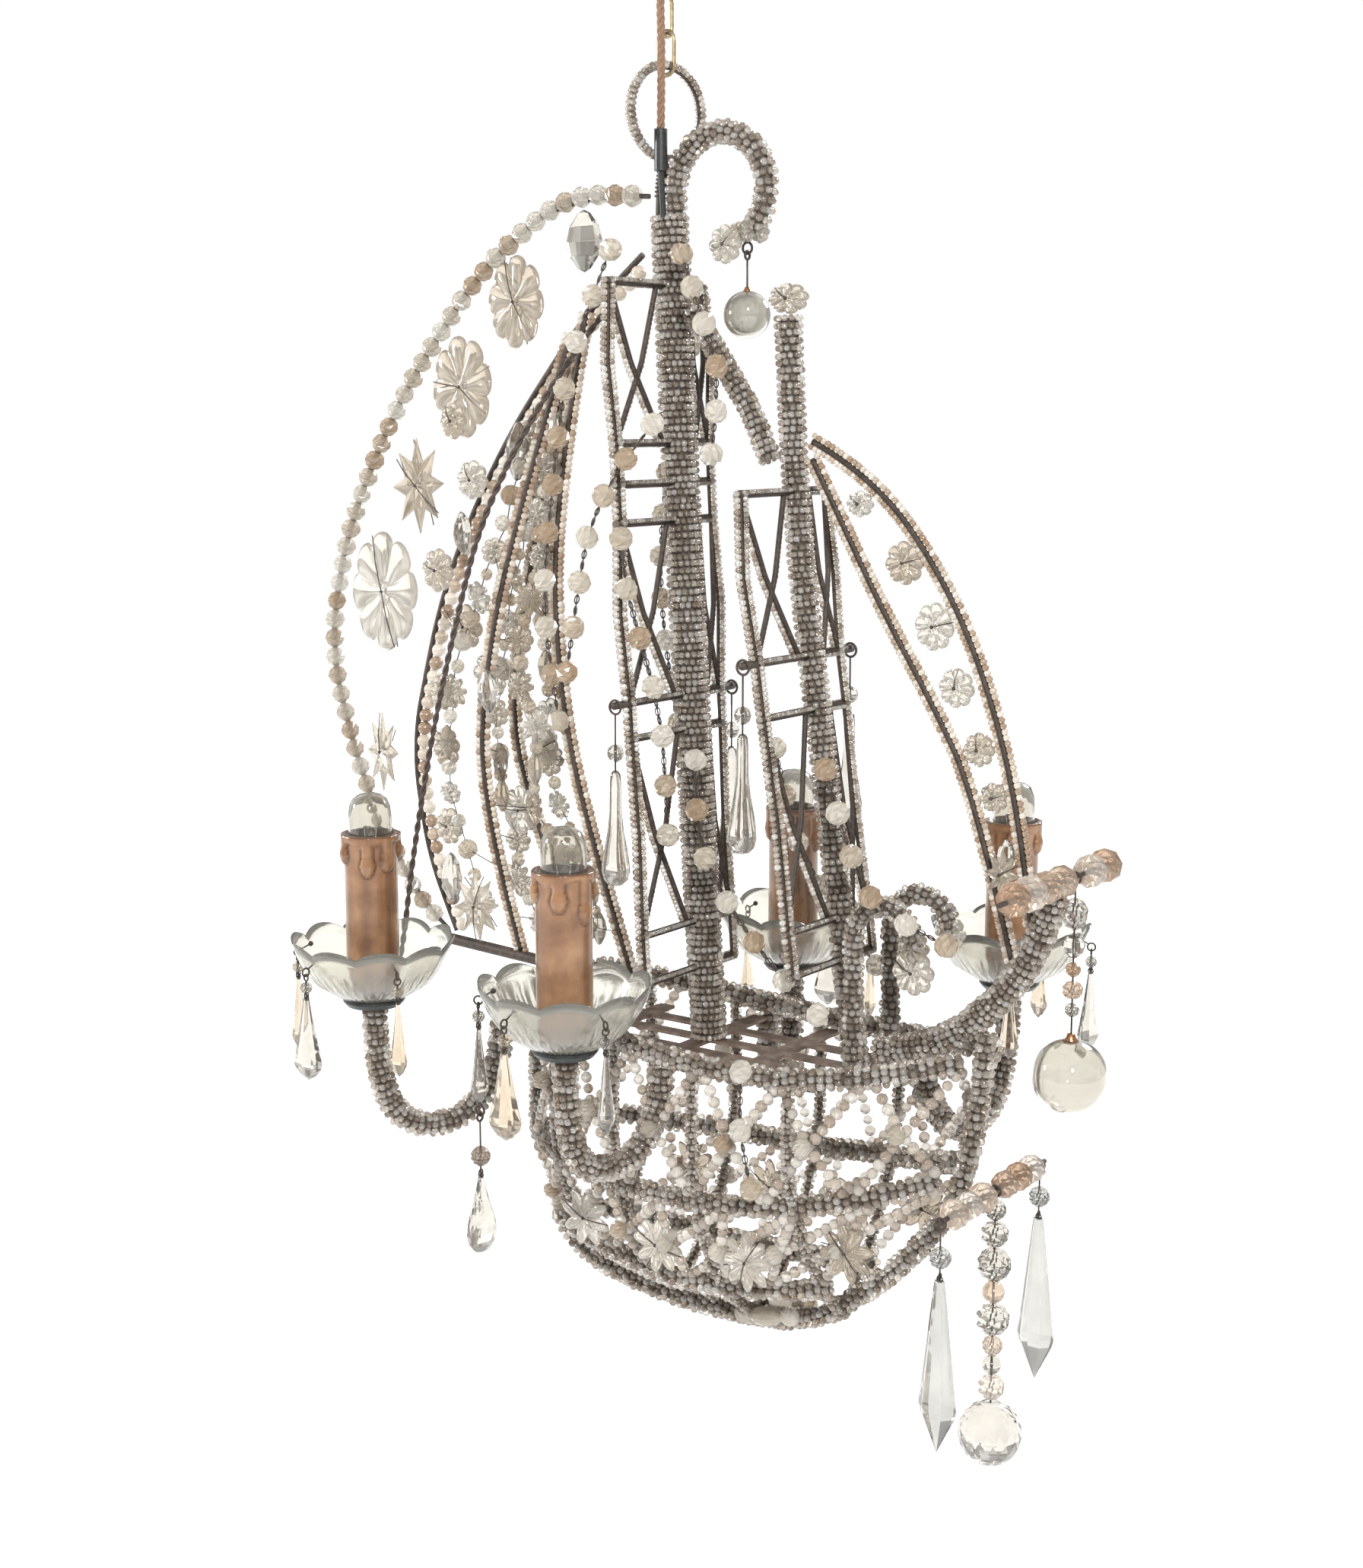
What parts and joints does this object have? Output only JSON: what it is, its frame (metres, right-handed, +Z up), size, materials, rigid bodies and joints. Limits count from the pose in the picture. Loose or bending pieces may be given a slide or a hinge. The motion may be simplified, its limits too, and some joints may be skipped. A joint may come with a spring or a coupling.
{
  "type": "ship chandelier",
  "caption": "Hanging electric chandelier shaped as a sailing ship of beaded tubes, with crystal sails, candle lamps in glass drip pans and swinging drops.",
  "frame": {"origin": "middle of the ceiling rose's flat top face", "axes": "+Z up, +X towards the bow of the ship, +Y across it"},
  "size_m": [0.4654, 0.3258, 0.7322],
  "materials": {
    "cut_crystal": "faceted, clear, slightly aged",
    "aged_crystal": "moulded, honey tinted in places",
    "beaded_tube": "wound with small glass beads over a metal tube",
    "dark_iron": "dull, browned",
    "aged_brass": "antique, dull",
    "deck_metal": "brown, dull",
    "cloth_flex": "twisted cloth braid",
    "black_sleeve": "satin",
    "pan_glass": "pressed, fluted",
    "bulb_glass": "clear",
    "candle_sleeve": "antiqued ochre with wax drips",
    "holder": "dark, satin"
  },
  "bodies": {
    "ceiling": {"ceiling_rose": "aged_brass", "ceiling_hook": "aged_brass"},
    "lamp": {"arm_lead": "cloth_flex", "bow_crossbars": "aged_crystal", "bow_scrolls": "beaded_tube", "bulbs": "bulb_glass", "candle_arms": "beaded_tube", "candle_sleeves": "candle_sleeve", "deck_frame": "deck_metal", "drip_pans": "pan_glass", "flex_cord": "cloth_flex", "flex_sleeve": "black_sleeve", "fore_mast": "beaded_tube", "fore_shrouds": "dark_iron", "garland_beads": "aged_crystal", "garland_wires": "dark_iron", "hanging_ring": "dark_iron", "hull_rails": "beaded_tube", "hull_ribs": "beaded_tube", "hull_stars": "aged_crystal", "keel": "beaded_tube", "lampholders": "holder", "main_mast": "beaded_tube", "main_shrouds": "dark_iron", "mast_stay": "beaded_tube", "pan_hooks": "dark_iron", "prow_tube": "beaded_tube", "sail_edge_beads": "aged_crystal", "sail_frames": "dark_iron", "sail_ovals": "aged_crystal", "sail_rosettes": "aged_crystal", "sail_stars": "aged_crystal", "stern_sail_wires": "dark_iron", "stern_string_beads": "aged_crystal", "stern_yard": "dark_iron", "suspension_chain": "aged_brass", "top_scroll": "beaded_tube", "transom_bars": "beaded_tube"},
    "pan_drop_stern_1": {"pan_drop_stern_1": "cut_crystal"},
    "pan_drop_stern_2": {"pan_drop_stern_2": "cut_crystal"},
    "pan_drop_stern_3": {"pan_drop_stern_3": "cut_crystal"},
    "pan_drop_near_1": {"pan_drop_near_1": "cut_crystal"},
    "pan_drop_near_2": {"pan_drop_near_2": "cut_crystal"},
    "pan_drop_near_3": {"pan_drop_near_3": "cut_crystal"},
    "pan_drop_far_1": {"pan_drop_far_1": "cut_crystal"},
    "pan_drop_far_2": {"pan_drop_far_2": "cut_crystal"},
    "pan_drop_far_3": {"pan_drop_far_3": "cut_crystal"},
    "pan_drop_bow_1": {"pan_drop_bow_1": "cut_crystal"},
    "pan_drop_bow_2": {"pan_drop_bow_2": "cut_crystal"},
    "pan_drop_bow_3": {"pan_drop_bow_3": "cut_crystal"},
    "stern_tear": {"stern_tear": "cut_crystal"},
    "scroll_ball": {"scroll_ball": "cut_crystal"},
    "bow_ball": {"bow_ball": "cut_crystal"},
    "bead_tassel": {"bead_tassel": "aged_crystal"},
    "prism_near": {"prism_near": "cut_crystal"},
    "prism_far": {"prism_far": "cut_crystal"},
    "long_drop_main_near": {"long_drop_main_near": "cut_crystal"},
    "long_drop_main_far": {"long_drop_main_far": "cut_crystal"},
    "long_drop_fore_near": {"long_drop_fore_near": "cut_crystal"},
    "long_drop_fore_far": {"long_drop_fore_far": "cut_crystal"}
  },
  "joints": [
    {"name": "lamp_swing", "type": "hinge", "parent": "ceiling", "child": "lamp", "pos_m": [0, 0, -0.034], "axis": [0, 1, 0], "range_deg": [-6, 6], "deforming": ["flex_cord"]},
    {"name": "pan_drop_stern_1_swing", "type": "hinge", "parent": "lamp", "child": "pan_drop_stern_1", "pos_m": [-0.14967, -0.11007, -0.5122], "axis": [-0.9397, -0.342, 0], "range_deg": [-18, 18]},
    {"name": "pan_drop_stern_2_swing", "type": "hinge", "parent": "lamp", "child": "pan_drop_stern_2", "pos_m": [-0.11673, -0.13675, -0.5122], "axis": [-0.1392, -0.9903, 0], "range_deg": [-18, 18]},
    {"name": "pan_drop_stern_3_swing", "type": "hinge", "parent": "lamp", "child": "pan_drop_stern_3", "pos_m": [-0.07536, -0.11657, -0.5122], "axis": [0.866, -0.5, 0], "range_deg": [-18, 18]},
    {"name": "pan_drop_near_1_swing", "type": "hinge", "parent": "lamp", "child": "pan_drop_near_1", "pos_m": [-0.01529, -0.12639, -0.5122], "axis": [-0.9063, -0.4226, 0], "range_deg": [-18, 18]},
    {"name": "pan_drop_near_2_swing", "type": "hinge", "parent": "lamp", "child": "pan_drop_near_2", "pos_m": [0.02056, -0.15013, -0.5122], "axis": [-0.0349, -0.9994, 0], "range_deg": [-18, 18]},
    {"name": "pan_drop_near_3_swing", "type": "hinge", "parent": "lamp", "child": "pan_drop_near_3", "pos_m": [0.0593, -0.12639, -0.5122], "axis": [0.9063, -0.4226, 0], "range_deg": [-18, 18]},
    {"name": "pan_drop_far_1_swing", "type": "hinge", "parent": "lamp", "child": "pan_drop_far_1", "pos_m": [0.05364, 0.10858, -0.5122], "axis": [0.866, 0.5, 0], "range_deg": [-18, 18]},
    {"name": "pan_drop_far_2_swing", "type": "hinge", "parent": "lamp", "child": "pan_drop_far_2", "pos_m": [0.01441, 0.12899, -0.5122], "axis": [-0.0872, 0.9962, 0], "range_deg": [-18, 18]},
    {"name": "pan_drop_far_3_swing", "type": "hinge", "parent": "lamp", "child": "pan_drop_far_3", "pos_m": [-0.02067, 0.10207, -0.5122], "axis": [-0.9397, 0.342, 0], "range_deg": [-18, 18]},
    {"name": "pan_drop_bow_1_swing", "type": "hinge", "parent": "lamp", "child": "pan_drop_bow_1", "pos_m": [0.14932, 0.08367, -0.5122], "axis": [0.4695, -0.8829, 0], "range_deg": [-18, 18]},
    {"name": "pan_drop_bow_2_swing", "type": "hinge", "parent": "lamp", "child": "pan_drop_bow_2", "pos_m": [0.16867, 0.13407, -0.5122], "axis": [0.9397, 0.342, 0], "range_deg": [-18, 18]},
    {"name": "pan_drop_bow_3_swing", "type": "hinge", "parent": "lamp", "child": "pan_drop_bow_3", "pos_m": [0.12641, 0.16099, -0.5122], "axis": [-0.0872, 0.9962, 0], "range_deg": [-18, 18]},
    {"name": "stern_tear_swing", "type": "hinge", "parent": "pan_drop_near_1", "child": "stern_tear", "pos_m": [-0.01529, -0.12639, -0.5656], "axis": [1, 0, 0], "range_deg": [-18, 18]},
    {"name": "scroll_ball_swing", "type": "hinge", "parent": "lamp", "child": "scroll_ball", "pos_m": [0.0468, 0, -0.17], "axis": [1, 0, 0], "range_deg": [-20, 20]},
    {"name": "bow_ball_swing", "type": "hinge", "parent": "lamp", "child": "bow_ball", "pos_m": [0.2151, 0.017, -0.4478], "axis": [0, 1, 0], "range_deg": [-15, 5]},
    {"name": "bead_tassel_swing", "type": "hinge", "parent": "lamp", "child": "bead_tassel", "pos_m": [0.186, 0.0035, -0.597], "axis": [0, 1, 0], "range_deg": [-15, 12]},
    {"name": "prism_near_swing", "type": "hinge", "parent": "lamp", "child": "prism_near", "pos_m": [0.186, -0.048, -0.597], "axis": [0, 1, 0], "range_deg": [-15, 15]},
    {"name": "prism_far_swing", "type": "hinge", "parent": "lamp", "child": "prism_far", "pos_m": [0.186, 0.048, -0.597], "axis": [0, 1, 0], "range_deg": [-15, 15]},
    {"name": "long_drop_main_near_swing", "type": "hinge", "parent": "lamp", "child": "long_drop_main_near", "pos_m": [0.01432, -0.0608, -0.378], "axis": [0, 1, 0], "range_deg": [-10, 10]},
    {"name": "long_drop_main_far_swing", "type": "hinge", "parent": "lamp", "child": "long_drop_main_far", "pos_m": [0.01432, 0.0348, -0.378], "axis": [0, 1, 0], "range_deg": [-10, 10]},
    {"name": "long_drop_fore_near_swing", "type": "hinge", "parent": "lamp", "child": "long_drop_fore_near", "pos_m": [0.08426, -0.0568, -0.355], "axis": [0, 1, 0], "range_deg": [-6, 10]},
    {"name": "long_drop_fore_far_swing", "type": "hinge", "parent": "lamp", "child": "long_drop_fore_far", "pos_m": [0.08426, 0.0348, -0.355], "axis": [0, 1, 0], "range_deg": [-6, 10]}
  ]
}
